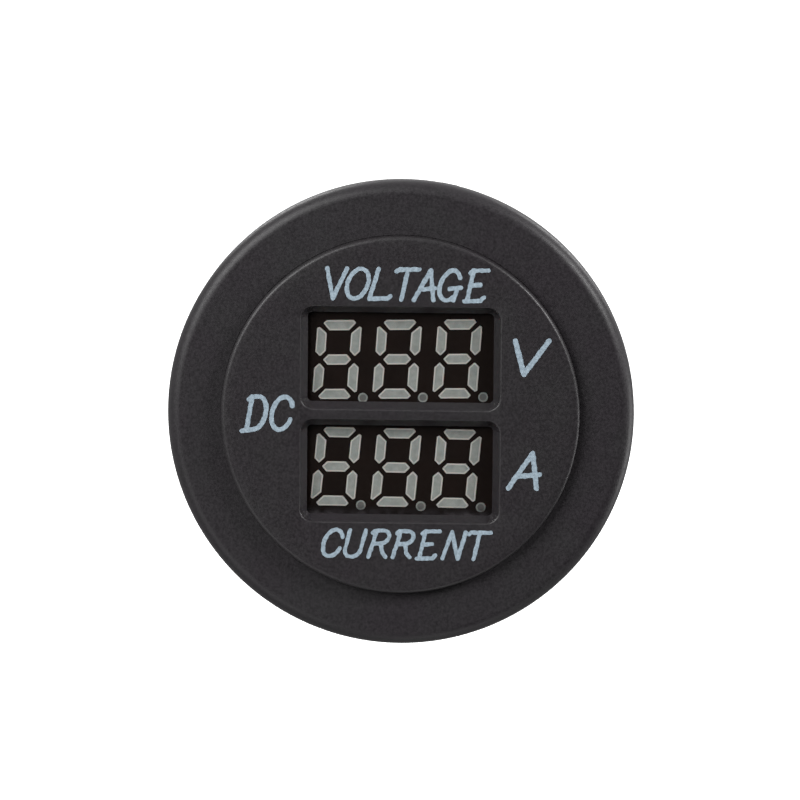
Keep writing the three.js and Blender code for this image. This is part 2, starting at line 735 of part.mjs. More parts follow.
const amplifier = mesh(
  "sense_amplifier",
  MATERIALS.chipBlack,
  chip({ length: 4.9, width: 3.9, legs: 4, pitch: 1.27 }),
);
amplifier.rotation.y = Math.PI / 2;
onDisplayBoard(amplifier, 4.4, DISPLAYS.voltage.z);
const resistors = chip({ length: 6.4, width: 2.2, legs: 5, pitch: 1.27 });
onDisplayBoard(mesh("resistor_array", MATERIALS.chipBlack, resistors), 0.3, DISPLAYS.current.z);
const displayCapacitor = mesh("display_board_capacitor", MATERIALS.ceramic, ceramicCapacitor());
onDisplayBoard(displayCapacitor, -4.0, DISPLAYS.voltage.z);
const controller = chip({ length: 5.0, width: 4.4, legs: 7, pitch: 0.65 });
onPowerBoard(mesh("microcontroller", MATERIALS.chipBlack, controller), 0, -3.2);
onPowerBoard(mesh("power_board_capacitor", MATERIALS.ceramic, ceramicCapacitor()), 0, -9.9);

const TAB_NAMES = ["supply_positive_tab", "supply_negative_tab", "current_in_tab", "current_out_tab"];
tabPlaces().forEach(([x, z], i) => meter.add(mesh(TAB_NAMES[i], MATERIALS.tin, bladeTab(x, z))));

meter.add(
  mesh("clamp_washer", MATERIALS.nylon, clampWasher()),
  mesh("mounting_nut", MATERIALS.nylon, mountingNut()),
);

export default meter;
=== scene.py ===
"""Looks of a round panel-mount volt and amp meter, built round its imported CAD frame."""
import math

import bmesh
import bpy
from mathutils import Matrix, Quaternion, Vector, geometry, noise


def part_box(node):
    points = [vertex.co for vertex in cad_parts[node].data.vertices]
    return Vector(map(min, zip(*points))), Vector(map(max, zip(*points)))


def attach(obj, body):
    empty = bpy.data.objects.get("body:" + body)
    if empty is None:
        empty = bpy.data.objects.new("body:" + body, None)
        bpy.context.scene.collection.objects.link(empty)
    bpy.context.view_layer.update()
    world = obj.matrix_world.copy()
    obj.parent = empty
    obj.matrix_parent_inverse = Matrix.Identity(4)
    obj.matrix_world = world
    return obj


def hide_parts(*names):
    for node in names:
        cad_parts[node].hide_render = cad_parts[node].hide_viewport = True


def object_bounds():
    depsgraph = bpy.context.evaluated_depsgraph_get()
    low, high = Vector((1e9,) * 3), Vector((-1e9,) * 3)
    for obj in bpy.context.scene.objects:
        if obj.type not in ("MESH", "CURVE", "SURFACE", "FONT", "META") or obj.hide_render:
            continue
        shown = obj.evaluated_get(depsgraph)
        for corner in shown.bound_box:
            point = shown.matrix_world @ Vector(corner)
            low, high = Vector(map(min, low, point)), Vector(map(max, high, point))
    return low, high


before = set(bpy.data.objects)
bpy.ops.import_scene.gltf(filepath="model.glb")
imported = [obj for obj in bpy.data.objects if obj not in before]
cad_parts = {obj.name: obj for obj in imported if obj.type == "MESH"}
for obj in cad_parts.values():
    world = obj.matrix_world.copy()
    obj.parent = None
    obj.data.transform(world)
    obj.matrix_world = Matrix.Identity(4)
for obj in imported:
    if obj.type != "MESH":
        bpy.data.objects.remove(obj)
cad_low, cad_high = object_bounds()
noise.seed_set(1)  # so that the print's edges come out the same each run

# ---- Driving sizes, in millimetres: places come from the frame, the rest are the fine shapes ----

MM = 0.001
FULL_TURN = 2 * math.pi


def span(node, axis):
    """A node's lowest and highest coordinate along an axis, in millimetres."""
    low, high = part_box(node)
    return low[axis] / MM, high[axis] / MM


X, Y, Z = 0, 1, 2
FLANGE_R = span("threaded_housing", X)[1]
FLANGE_FRONT, BARREL_END = span("threaded_housing", Y)
FACE_FRONT, FACE_LIP_BACK = span("face_plate", Y)
FACE_R = span("face_plate", X)[1]
FILM_FRONT = span("window_film", Y)[0]
FILM_R = span("window_film", X)[1]
GASKET_FRONT, GASKET_BACK = span("panel_gasket", Y)
WASHER_FRONT, WASHER_BACK = span("clamp_washer", Y)
WASHER_R = span("clamp_washer", X)[1]
NUT_FRONT, NUT_BACK = span("mounting_nut", Y)
COVER_BACK = span("rear_cover", Y)[1]
COVER_R = span("rear_cover", X)[1]

HAIR = 0.05  # left between pieces that meet
FLANGE_BACK = GASKET_FRONT - HAIR
RIM_ROUND = 1.05
BORE_R = 12.4
FACE_DRAFT = 0.02
SEAT_R = FACE_R + 0.04
SEAT_FLOOR = FLANGE_FRONT + 0.9
THREAD_PITCH = 3.0
THREAD_ROOT = 13.35
THREAD_CREST = 14.25
THREAD_FROM, THREAD_START = 1.5, 2.4  # the groove deepens from one to the other
THREAD_END_SLOPE = 1.9
KEYWAY_HALF = 1.5
KEYWAY_FLOOR = 13.2
KEYWAY_START = 0.5
WINDOW = {"width": 15.65, "height": 8.05, "corner": 0.95, "bevel": 0.48, "lip": 0.19}
WINDOW_CENTRES = (4.55, -4.43)
FACE_CORE_BACK = FILM_FRONT - HAIR
WASHER_GAP = 0.25
NUT_BORE = 13.65
NUT_GROOVE = 14.45
NUT_BODY_R = 16.1
NUT_FLANGE = 1.8
RIB = {"count": 16, "half": 0.9, "radius": 17.0, "round": 0.3, "foot": 0.6}
SPIGOT_BORE = 11.0
SPIGOT_R = 12.2
SLOT = {"width": 6.5, "height": 1.0, "round": 0.2, "flare": 0.3}
BLADE = {"half": 3.15, "shoulder": 3.8, "leg": 1.5, "edge": 0.12, "hole": 0.85, "hole_to_tip": 4.0}
INK = 0.02  # how far the print stands off the face, and how far it reaches in
COLUMNS = 192

# Half of the thread's section: distance from the ridge's middle, and height from root (0) to crest (1).
THREAD_SECTION = [(0, 1), (0.38, 1), (0.47, 0.97), (0.55, 0.88), (0.86, 0.12), (0.94, 0.03), (1.04, 0)]

CASE = {"width": 15.4, "height": 8.0, "wall": 0.5, "front": 1.2, "shift": 0.3}
MODULE_TURNS = {"voltage": 1.0, "current": -0.36}
DIGIT_PITCH = 4.76
DIGIT_SLANT = 0.085
POINT = {"x": 2.27, "z": -3.05, "radius": 0.41}

# ---- Mesh helpers: they work in millimetres, and piece() turns the result into metres ----


def rounded(corners, closed=True, steps=5):
    """An outline through [u, v, radius] corners, each turned into an arc of that radius."""
    points = []
    last = len(corners) - 1
    for i, (u, v, radius) in enumerate(corners):
        here = Vector((u, v))
        if radius == 0 or (not closed and i in (0, last)):
            points.append(here)
            continue
        back = (Vector(corners[i - 1][:2]) - here).normalized()
        ahead = (Vector(corners[(i + 1) % len(corners)][:2]) - here).normalized()
        half = back.angle(ahead) / 2
        centre = here + (back + ahead).normalized() * (radius / math.sin(half))
        first = here + back * (radius / math.tan(half)) - centre
        final = here + ahead * (radius / math.tan(half)) - centre
        start = math.atan2(first.y, first.x)
        sweep = math.atan2(final.y, final.x) - start
        sweep = (sweep + math.pi) % FULL_TURN - math.pi
        for k in range(steps + 1):
            a = start + sweep * k / steps
            points.append(centre + radius * Vector((math.cos(a), math.sin(a))))
    return points


def skin(bm, rows, columns, place):
    """Quads over a grid of points: the rows close on themselves, the columns are welded by piece()."""
    grid = [[bm.verts.new(place(row, column)) for column in columns] for row in rows]
    for r, upper in enumerate(grid):
        lower = grid[(r + 1) % len(grid)]
        for c in range(len(columns) - 1):
            bm.faces.new((upper[c], upper[c + 1], lower[c + 1], lower[c]))


def around(radius, angle, y):
    return Vector((radius * math.sin(angle), y, radius * math.cos(angle)))


def turned(bm, outline):
    """A closed outline of (radius, y) points turned round the meter's axis."""
    angles = [FULL_TURN * c / COLUMNS for c in range(COLUMNS + 1)]
    skin(bm, outline, angles, lambda row, angle: around(row[0], angle, row[1]))


def ring(bm, points, y):
    """New vertices for an outline of (x, z) points at one depth."""
    return [bm.verts.new((p[0], y, p[1])) for p in points]


def bridge(bm, first, second):
    for i in range(len(first)):
        j = (i + 1) % len(first)
        bm.faces.new((first[i], first[j], second[j], second[i]))


def fill(bm, *rings):
    """Fills the flat area between an outer ring and any rings inside it."""
    edges = []
    for loop in rings:
        for i, vert in enumerate(loop):
            after = loop[(i + 1) % len(loop)]
            edges.append(bm.edges.get((vert, after)) or bm.edges.new((vert, after)))
    bmesh.ops.triangle_fill(bm, use_beauty=True, use_dissolve=False, edges=edges)


def walls(bm, outlines):
    """A tube of quads through (points, y) outlines, and its rings."""
    rings = [ring(bm, points, y) for points, y in outlines]
    for first, second in zip(rings, rings[1:]):
        bridge(bm, first, second)
    return rings


def circle(radius):
    """A large round outline about the meter's axis, with the columns of the turned parts."""
    angles = [FULL_TURN * c / COLUMNS for c in range(COLUMNS)]
    return [(radius * math.sin(a), radius * math.cos(a)) for a in angles]


def disc(centre, radius, count):
    """A round outline, anticlockwise."""
    angles = [FULL_TURN * k / count for k in range(count)]
    return [centre + radius * Vector((math.cos(a), math.sin(a))) for a in angles]


def rounded_rectangle(width, height, radius, centre=(0, 0), steps=8):
    w, h = width / 2, height / 2
    corners = [(w, h, radius), (-w, h, radius), (-w, -h, radius), (w, -h, radius)]
    return [Vector(centre) + p for p in rounded(corners, steps=steps)]


def grown(points, distance):
    """An anticlockwise outline moved outwards by a distance, which is negative for inwards."""
    result = []
    for i, here in enumerate(points):
        along = (points[(i + 1) % len(points)] - points[i - 1]).normalized()
        result.append(here + distance * Vector((along.y, -along.x)))
    return result


WELD = 2e-5  # points this close become one


def piece(name, bm, material, body="meter", stands_for=(), sharp=38):
    """Turns a millimetre bmesh into a finished object that rides on a body."""
    bmesh.ops.remove_doubles(bm, verts=bm.verts, dist=WELD)
    bmesh.ops.dissolve_degenerate(bm, edges=bm.edges, dist=WELD)
    bmesh.ops.recalc_face_normals(bm, faces=bm.faces)
    bmesh.ops.scale(bm, verts=bm.verts, vec=(MM, MM, MM))
    mesh = bpy.data.meshes.new(name)
    bm.to_mesh(mesh)
    bm.free()
    mesh.materials.append(material)
    mesh.shade_smooth()
    mesh.set_sharp_from_angle(angle=math.radians(sharp))
    made = bpy.data.objects.new(name, mesh)
    bpy.context.collection.objects.link(made)
    made.modifiers.new("even_normals", "WEIGHTED_NORMAL").keep_sharp = True
    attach(made, body)
    if stands_for:
        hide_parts(*stands_for)
    return made


# ---- Materials ----


class Nodes:
    """A material's node tree, with short calls for the nodes used here."""

    def __init__(self, name):
        self.material = bpy.data.materials.new(name)
        self.material.use_nodes = True
        self.tree = self.material.node_tree
        self.shader = self.tree.nodes["Principled BSDF"]

    def add(self, kind, **inputs):
        node = self.tree.nodes.new(kind)
        for socket, value in inputs.items():
            self.feed(node.inputs[socket.replace("_", " ")], value)
        return node

    def feed(self, socket, value):
        if isinstance(value, bpy.types.NodeSocket):
            self.tree.links.new(value, socket)
        else:
            socket.default_value = value

    def set(self, **inputs):
        for socket, value in inputs.items():
            self.feed(self.shader.inputs[socket.replace("_", " ")], value)

    def noise(self, size, detail=2.0, roughness=0.5, stretch=(1, 1, 1)):
        """A noise factor whose features are about size millimetres across."""
        place = self.add("ShaderNodeTexCoord").outputs["Object"]
        scaled = self.add("ShaderNodeMapping", Vector=place, Scale=stretch).outputs["Vector"]
        scale = 1 / (size * MM)
        node = self.add("ShaderNodeTexNoise", Vector=scaled, Scale=scale, Detail=detail, Roughness=roughness)
        return node.outputs["Fac"]

    def ramp(self, factor, *stops):
        """Colours or greys at positions along a factor."""
        node = self.add("ShaderNodeValToRGB", Fac=factor)
        elements = node.color_ramp.elements
        while len(elements) < len(stops):
            elements.new(0.5)
        for element, (position, value) in zip(elements, stops):
            element.position = position
            grey = isinstance(value, (int, float))
            element.color = (value, value, value, 1) if grey else (*value, 1)
        return node.outputs["Color"]

    def mixed(self, factor, first, second):
        node = self.tree.nodes.new("ShaderNodeMix")
        node.data_type = "RGBA"
        self.feed(node.inputs["Factor"], factor)
        self.feed(node.inputs["A"], (*first, 1) if isinstance(first, tuple) else first)
        self.feed(node.inputs["B"], (*second, 1) if isinstance(second, tuple) else second)
        return node.outputs["Result"]

    def bump(self, height, depth, under=None):
        """Bump of a depth in millimetres, laid over another bump if one is given."""
        node = self.add("ShaderNodeBump", Height=height, Distance=depth * MM, Strength=1.0)
        if under is not None:
            self.feed(node.inputs["Normal"], under)
        return node.outputs["Normal"]


def shaded(colour, factor):
    return tuple(c * factor for c in colour)


NEUTRAL_TINT = (0.96, 1.06, 0.97)


def moulded_plastic(name, colour, roughness, grain=0.2, depth=0.0095, specular=0.5):
    """Black moulded plastic with a spark-eroded grain, and faint clouds that are less purple."""
    m = Nodes(name)
    neutral = tuple(c * tint for c, tint in zip(colour, NEUTRAL_TINT))
    clouds = m.ramp(m.noise(4.5, detail=3), (0.35, 0.0), (0.65, 1.0))
    fine = m.noise(grain, detail=3, roughness=0.6)
    coarse = m.noise(grain * 3.2, detail=2)
    darker = m.mixed(clouds, shaded(colour, 0.74), shaded(neutral, 0.82))
    paler = m.mixed(clouds, shaded(colour, 1.18), shaded(neutral, 1.28))
    m.set(Base_Color=m.mixed(m.ramp(fine, (0.35, 0.0), (0.65, 1.0)), darker, paler))
    m.set(Roughness=m.ramp(fine, (0.3, roughness - 0.07), (0.7, roughness + 0.07)))
    m.set(Normal=m.bump(fine, depth, under=m.bump(coarse, depth * 1.5)))
    m.shader.inputs["Specular IOR Level"].default_value = specular
    return m.material


def soft_rubber():
    m = Nodes("gasket_rubber")
    fine = m.noise(0.2, detail=3)
    bloom = m.noise(3.0, detail=4)
    m.set(Base_Color=m.ramp(bloom, (0.3, (0.012, 0.012, 0.013)), (0.75, (0.026, 0.026, 0.027))))
    m.set(Roughness=m.ramp(fine, (0.3, 0.72), (0.7, 0.9)))
    m.set(Normal=m.bump(fine, 0.004))
    return m.material


DUST_TOP, DUST_BOTTOM = -7.25, -7.95  # heights between which dust thickens towards the window's sill


def clear_film():
    """Thin clear sheet: a faint gloss, and a little dust along the lower window's bottom edge."""
    m = Nodes("clear_film")
    haze = m.noise(2.5, detail=2)
    place = m.add("ShaderNodeTexCoord").outputs["Object"]
    height = m.add("ShaderNodeSeparateXYZ", Vector=place).outputs["Z"]
    low = m.add("ShaderNodeMapRange", Value=height, From_Min=DUST_TOP * MM, From_Max=DUST_BOTTOM * MM)
    settled = m.ramp(m.noise(0.7, detail=5, roughness=0.65), (0.36, 0.2), (0.66, 1.0))
    dust = m.mixed(low.outputs["Result"], (0, 0, 0), settled)
    clean = m.ramp(haze, (0.3, (0.008, 0.008, 0.008)), (0.7, (0.014, 0.013, 0.013)))
    m.set(Base_Color=m.mixed(dust, clean, (0.05, 0.044, 0.048)))
    m.set(Roughness=m.mixed(dust, m.ramp(haze, (0.3, 0.08), (0.7, 0.12)), (0.6, 0.6, 0.6)))
    m.set(Alpha=m.ramp(dust, (0, 0.03), (1, 0.65)))
    m.shader.inputs["Specular IOR Level"].default_value = 0.3
    return m.material


def display_black():
    m = Nodes("display_black")
    fine = m.noise(0.25, detail=3)
    clouds = m.noise(3.0, detail=2)
    m.set(Base_Color=m.ramp(clouds, (0.3, (0.0062, 0.0034, 0.0025)), (0.7, (0.0092, 0.005, 0.0037))))
    m.set(Roughness=m.ramp(fine, (0.3, 0.4), (0.7, 0.5)))
    m.set(Normal=m.bump(fine, 0.0015))
    m.shader.inputs["Specular IOR Level"].default_value = 0.15
    return m.material


EDGE = "edge"  # the mesh attribute that segment_resin() reads: 1 at a bar's border, less inside


def segment_resin():
    """Unlit frosted resin: grey-green, with a paler border where it meets the case, and dimmer points."""
    m = Nodes("segment_resin")
    border = m.tree.nodes.new("ShaderNodeAttribute")
    border.attribute_name = EDGE
    cloudy = m.noise(0.5, detail=3)
    bar = m.ramp(cloudy, (0.3, (0.24, 0.26, 0.243)), (0.7, (0.325, 0.34, 0.32)))
    inside = m.mixed(m.ramp(border.outputs["Fac"], (0.0, 0.0), (0.3, 1.0)), (0.12, 0.122, 0.118), bar)
    rim = m.ramp(border.outputs["Fac"], (0.45, 0.0), (0.85, 1.0))
    m.set(Base_Color=m.mixed(rim, inside, (0.55, 0.53, 0.49)))
    m.set(Roughness=m.ramp(cloudy, (0.3, 0.38), (0.7, 0.5)))
    m.set(Normal=m.bump(m.noise(0.12, detail=2), 0.002))
    m.set(Subsurface_Weight=0.15, Subsurface_Scale=0.0004)
    return m.material


def printed_ink():
    """Pale blue pad print, a little patchy."""
    m = Nodes("printed_ink")
    patches = m.noise(0.22, detail=4, roughness=0.65)
    m.set(Base_Color=m.ramp(patches, (0.28, (0.21, 0.275, 0.33)), (0.68, (0.425, 0.53, 0.61))))
    m.set(Roughness=m.ramp(patches, (0.3, 0.55), (0.7, 0.75)))
    m.set(Normal=m.bump(patches, 0.004))
    return m.material


def tinned_brass():
    m = Nodes("tinned_brass")
    rolled = m.noise(0.5, detail=4, stretch=(6, 0.35, 1))
    stains = m.noise(2.2, detail=4)
    m.set(Base_Color=m.mixed(m.ramp(stains, (0.45, 0.0), (0.8, 1.0)), (0.66, 0.66, 0.63), (0.5, 0.48, 0.43)))
    m.set(Metallic=1.0)
    m.set(Roughness=m.ramp(rolled, (0.3, 0.24), (0.7, 0.42)))
    m.set(Normal=m.bump(rolled, 0.002))
    return m.material


def resistance_wire():
    m = Nodes("resistance_wire")
    drawn = m.noise(0.3, detail=3, stretch=(0.3, 3, 3))
    heat = m.noise(2.5, detail=3)
    m.set(Base_Color=m.mixed(heat, (0.5, 0.3, 0.19), (0.33, 0.2, 0.16)))
    m.set(Metallic=1.0)
    m.set(Roughness=m.ramp(drawn, (0.3, 0.28), (0.7, 0.45)))
    m.set(Normal=m.bump(drawn, 0.003))
    return m.material


def board_laminate():
    """Green solder mask over copper areas, with the mask's slight orange peel."""
    m = Nodes("board_laminate")
    place = m.add("ShaderNodeTexCoord").outputs["Object"]
    cells = m.tree.nodes.new("ShaderNodeTexVoronoi")
    cells.feature = "DISTANCE_TO_EDGE"
    m.feed(cells.inputs["Vector"], place)
    m.feed(cells.inputs["Scale"], 1 / (2.4 * MM))
    copper = m.ramp(cells.outputs["Distance"], (0.06, 0.0), (0.09, 1.0))
    m.set(Base_Color=m.mixed(copper, (0.008, 0.05, 0.02), (0.02, 0.13, 0.05)))
    m.set(Roughness=m.ramp(m.noise(0.6), (0.3, 0.3), (0.7, 0.42)))
    m.set(Normal=m.bump(copper, 0.03))
    return m.material


def speckled(name, colour, roughness, size=0.3):
    """Moulded or fired bodies of the small parts: one colour family with fine speckle."""
    m = Nodes(name)
    fine = m.noise(size, detail=4, roughness=0.6)
    m.set(Base_Color=m.ramp(fine, (0.3, shaded(colour, 0.75)), (0.7, shaded(colour, 1.3))))
    m.set(Roughness=m.ramp(fine, (0.3, roughness - 0.08), (0.7, roughness + 0.08)))
    m.set(Normal=m.bump(fine, 0.004))
    return m.material


HOUSING_BLACK = moulded_plastic("housing_black", (0.0215, 0.0178, 0.0214), 0.45, specular=0.47)
FACE_BLACK = moulded_plastic("face_black", (0.0214, 0.0177, 0.021), 0.42, specular=0.52)
NUT_NYLON = moulded_plastic("nut_nylon", (0.022, 0.022, 0.023), 0.48, grain=0.3, depth=0.005)
GASKET_RUBBER = soft_rubber()
CLEAR_FILM = clear_film()
DISPLAY_BLACK = display_black()
SEGMENT_RESIN = segment_resin()
PRINTED_INK = printed_ink()
TINNED_BRASS = tinned_brass()
RESISTANCE_WIRE = resistance_wire()
BOARD_LAMINATE = board_laminate()
CHIP_EPOXY = speckled("chip_epoxy", (0.016, 0.016, 0.018), 0.5)
CHIP_CERAMIC = speckled("chip_ceramic", (0.4, 0.27, 0.14), 0.5)
CAPACITOR_SLEEVE = speckled("capacitor_sleeve", (0.03, 0.04, 0.13), 0.35, size=1.2)

# ---- Housing: flange, rim and threaded barrel as one skin ----


def keyed_columns(half, narrow, wide, parts):
    """Columns round the axis as (angle, offset across a key or None, whether it is on the key).

    They are even beside the keys at +X and -X, each 2 * half across. On a key they stand at the given
    parts of its half width, with their angles taken at the wide radius. The narrow radius is the
    smallest that the keys reach.
    """
    clear = math.asin(half / narrow) + 0.01  # no even column stands this close to a key's middle
    columns = []
    for c in range(COLUMNS + 1):
        angle = FULL_TURN * c / COLUMNS
        if min(abs(angle - FULL_TURN / 4), abs(angle - FULL_TURN * 3 / 4)) > clear:
            columns.append((angle, None, False))
    across = [(1, False), *((part, True) for part in parts), (-1, False)]
    for side in (1, -1):
        for part, on_key in across:
            offset = side * part * half
            columns.append((math.atan2(side * wide, offset) % FULL_TURN, offset, on_key))
    return sorted(columns, key=lambda column: round(column[0], 9))


def thread_rows(start, end):
    """Rows that follow the helix between two depths, as (y where the angle is 0, height)."""
    section = [(-s, h) for s, h in reversed(THREAD_SECTION[1:])] + THREAD_SECTION
    first = math.floor(start / THREAD_PITCH) - 1
    last = math.ceil(end / THREAD_PITCH)
    return [(k * THREAD_PITCH + s, h) for k in range(first, last + 1) for s, h in section]


def housing():
    bm = bmesh.new()
    thread_to = BARREL_END - HAIR
    front = rounded(
        [
            (BORE_R, SEAT_FLOOR + 1, 0),
            (BORE_R, SEAT_FLOOR, 0.08),
            (SEAT_R, SEAT_FLOOR, 0.06),
            (SEAT_R, FLANGE_FRONT, 0.02),
            (FLANGE_R, FLANGE_FRONT, RIM_ROUND),
            (FLANGE_R, FLANGE_BACK, 0.3),
            (THREAD_CREST, FLANGE_BACK, 0.2),
            (THREAD_CREST, KEYWAY_START, 0),
        ],
        closed=False,
        steps=10,
    )
    rows = [("round", r, y, False) for r, y in front]
    rows += [("round", THREAD_CREST, KEYWAY_START, True), ("round", THREAD_CREST, THREAD_FROM, True)]
    rows += [("thread", y, height, True) for y, height in thread_rows(THREAD_FROM, thread_to)]
    end = rounded(
        [
            (THREAD_ROOT, thread_to, 0),
            (THREAD_ROOT, BARREL_END, 0.05),
            (BORE_R, BARREL_END, 0.1),
            (BORE_R, BARREL_END - 1, 0),
        ],
        closed=False,
    )
    rows += [("round", r, y, True) for r, y in end]

    def barrel_radius(y, height):
        blend = min(max((y - THREAD_FROM) / (THREAD_START - THREAD_FROM), 0), 1)
        plain = THREAD_CREST + (THREAD_ROOT - THREAD_CREST) * blend
        lead_in = THREAD_ROOT + (thread_to - y) * THREAD_END_SLOPE
        ridge = min(THREAD_ROOT + (THREAD_CREST - THREAD_ROOT) * height, lead_in)
        return max(plain, ridge)

    def place(row, column):
        kind, first, second, keyed = row
        angle, offset, on_key = column
        if kind == "thread":
            y = min(max(first + THREAD_PITCH * angle / FULL_TURN, THREAD_FROM), thread_to)
            radius = barrel_radius(y, second)
        else:
            radius, y = first, second
        if offset is None:
            return around(radius, angle, y)
        x = math.sqrt(radius**2 - offset**2)
        if keyed and on_key:
            x = min(x, KEYWAY_FLOOR)
        return Vector((math.copysign(x, math.sin(angle)), y, offset))

    columns = keyed_columns(KEYWAY_HALF, THREAD_ROOT, THREAD_CREST, (1, 0.5, 0, -0.5, -1))
    skin(bm, rows, columns, place)
    return piece("housing_moulding", bm, HOUSING_BLACK, stands_for=["threaded_housing"])


# ---- Face plate with its two windows ----


def window_outline(centre, inset):
    """A window's outline moved in by an inset, with its corners tightened to match."""
    return rounded_rectangle(
        WINDOW["width"] - 2 * inset,
        WINDOW["height"] - 2 * inset,
        WINDOW["corner"] - 1.25 * inset,
        centre=(0, centre),
        steps=10,
    )


def window_wall(bm, centre):
    """The softened lip and the sloping wall of a window, and the rings at its front and back."""
    lip = WINDOW["lip"]
    steps = 5
    outlines = []
    for k in range(steps + 1):
        a = k / steps * math.pi / 2
        outline = window_outline(centre, -lip + lip * math.sin(a))
        outlines.append((outline, FACE_FRONT + lip * (1 - math.cos(a))))
    outlines.append((window_outline(centre, WINDOW["bevel"]), FACE_CORE_BACK))
    rings = walls(bm, outlines)
    return rings[0], rings[-1]


def face():
    bm = bmesh.new()
    edge_round = 0.34
    seat = SEAT_FLOOR - 0.1
    lip_gap = 0.15
    lip_outer = BORE_R - lip_gap
    lip_inner = FILM_R + lip_gap
    outline = rounded(
        [
            (FACE_R - 1, FACE_FRONT, 0),
            (FACE_R, FACE_FRONT, edge_round),
            (FACE_R + FACE_DRAFT, FLANGE_FRONT - 0.03, 0),
            (FACE_R + FACE_DRAFT, seat, 0.05),
            (lip_outer, seat, 0.05),
            (lip_outer, FACE_LIP_BACK, 0.1),
            (lip_inner, FACE_LIP_BACK, 0.1),
            (lip_inner, FACE_CORE_BACK, 0),
        ],
        closed=False,
        steps=6,
    )
    rings = walls(bm, [(circle(r), y) for r, y in outline])
    fronts, backs = zip(*(window_wall(bm, centre) for centre in WINDOW_CENTRES))
    fill(bm, rings[0], *fronts)
    fill(bm, rings[-1], *backs)
    return piece("face_moulding", bm, FACE_BLACK, stands_for=["face_plate"])


# ---- Display modules ----


def digit_bars():
    """The seven bars of a digit as corner points from its centre, before it leans."""
    end = [(1.32, 2.91), (1.08, 3.16), (-1.08, 3.16), (-1.32, 2.91), (-0.78, 2.31), (0.78, 2.31)]
    middle = [(1.14, 0), (0.74, 0.43), (-0.74, 0.43), (-1.14, 0), (-0.74, -0.43), (0.74, -0.43)]
    side = [(-1.58, 2.65), (-1.79, 2.53), (-1.79, 0.64), (-1.37, 0.24), (-0.93, 0.7), (-0.94, 2.09)]

    def flipped(bar, sx, sz):
        points = [(sx * x, sz * z) for x, z in bar]
        return points if sx * sz > 0 else points[::-1]

    sides = [flipped(side, sx, sz) for sx in (1, -1) for sz in (1, -1)]
    return [end, flipped(end, 1, -1), middle, *sides]


BAR_CORNER = 0.08
# The resin's edge attribute at the border and inside.
BAR_SHADES = (1.0, 0.3)
POINT_SHADES = (0.35, 0.0)


def lit_outlines():
    """Every bar and point of a three-digit module: a rounded, leaning outline and its shades."""
    outlines = []
    for digit in (-1, 0, 1):
        for bar in digit_bars():
            leaning = [(digit * DIGIT_PITCH + x + z * DIGIT_SLANT, z, BAR_CORNER) for x, z in bar]
            outlines.append((rounded(leaning, steps=3), BAR_SHADES))
        centre = Vector((digit * DIGIT_PITCH + POINT["x"] + POINT["z"] * DIGIT_SLANT, POINT["z"]))
        outlines.append((disc(centre, POINT["radius"], 28), POINT_SHADES))
    return outlines


def module_placer(name):
    """A function from a module's own (x, z) points to the meter's, and the module's front and back."""
    node = name + "_display_case"
    turn = math.radians(MODULE_TURNS[name])
    across = Vector((math.cos(turn), math.sin(turn)))
    up = Vector((-math.sin(turn), math.cos(turn)))
    middle = Vector((sum(span(node, X)) / 2, sum(span(node, Z)) / 2)) - CASE["shift"] * across
    front, back = span(node, Y)

    def placed(points):
        return [middle + across * p[0] + up * p[1] for p in points]

    return placed, front, back


def display_case(name):
    bm = bmesh.new()
    placed, front, back = module_placer(name)
    shift = (CASE["shift"], 0)
    width, height = CASE["width"], CASE["height"]
    wall = 2 * CASE["wall"]
    ceiling = front + CASE["front"]
    # The front's rounded edge and the side: how much narrower, corner radius, depth.
    levels = [(0.2, 0.15, front), (0.06, 0.2, front + 0.03), (0, 0.22, front + 0.1), (0, 0.22, back)]
    outer = walls(
        bm,
        [
            (placed(rounded_rectangle(width - less, height - less, corner, shift)), y)
            for less, corner, y in levels
        ],
    )
    inside = placed(rounded_rectangle(width - wall, height - wall, 0.15, shift))
    pocket = walls(bm, [(inside, ceiling), (inside, back)])
    holes = [walls(bm, [(placed(o), front), (placed(o), ceiling)]) for o, _ in lit_outlines()]
    fill(bm, outer[0], *[hole[0] for hole in holes])
    fill(bm, pocket[0], *[hole[-1] for hole in holes])
    fill(bm, outer[-1], pocket[-1])
    return piece(name + "_case", bm, DISPLAY_BLACK, stands_for=[name + "_display_case"])


def display_segments(name):
    """The resin: a slab behind the case front, with a bar or point standing in each of its holes."""
    bm = bmesh.new()
    edge = bm.verts.layers.float.new(EDGE)
    placed, front, _ = module_placer(name)
    clearance = 0.04
    slab_back = span(name + "_display_segments", Y)[1]
    slab_front = front + CASE["front"] + clearance
    inset = 2 * (CASE["wall"] + clearance)
    slab = placed(
        rounded_rectangle(CASE["width"] - inset, CASE["height"] - inset, 0.12, (CASE["shift"], 0))
    )
    slab_rings = walls(bm, [(slab, slab_front), (slab, slab_back)])
    fill(bm, slab_rings[-1])
    feet = []
    for outline, (border, inside) in lit_outlines():
        # From the slab to the bar's sunken middle: distance in from the hole's edge, depth, shade.
        steps = [
            (0.01, slab_front, border),
            (0.01, front + 0.05, border),
            (0.03, front + 0.03, border),
            (0.1, front + 0.022, border),
            (0.16, front + 0.03, inside),
        ]
        rings = walls(bm, [(placed(grown(outline, -inward)), y) for inward, y, _ in steps])
        for made, (_, _, shade) in zip(rings, steps):
            for vert in made:
                vert[edge] = shade
        fill(bm, rings[-1])
        feet.append(rings[0])
    fill(bm, slab_rings[0], *feet)
    return piece(
        name + "_segments",
        bm,
        SEGMENT_RESIN,
        stands_for=[name + "_display_segments"],
    )


# ---- Gasket, washer, nut ----


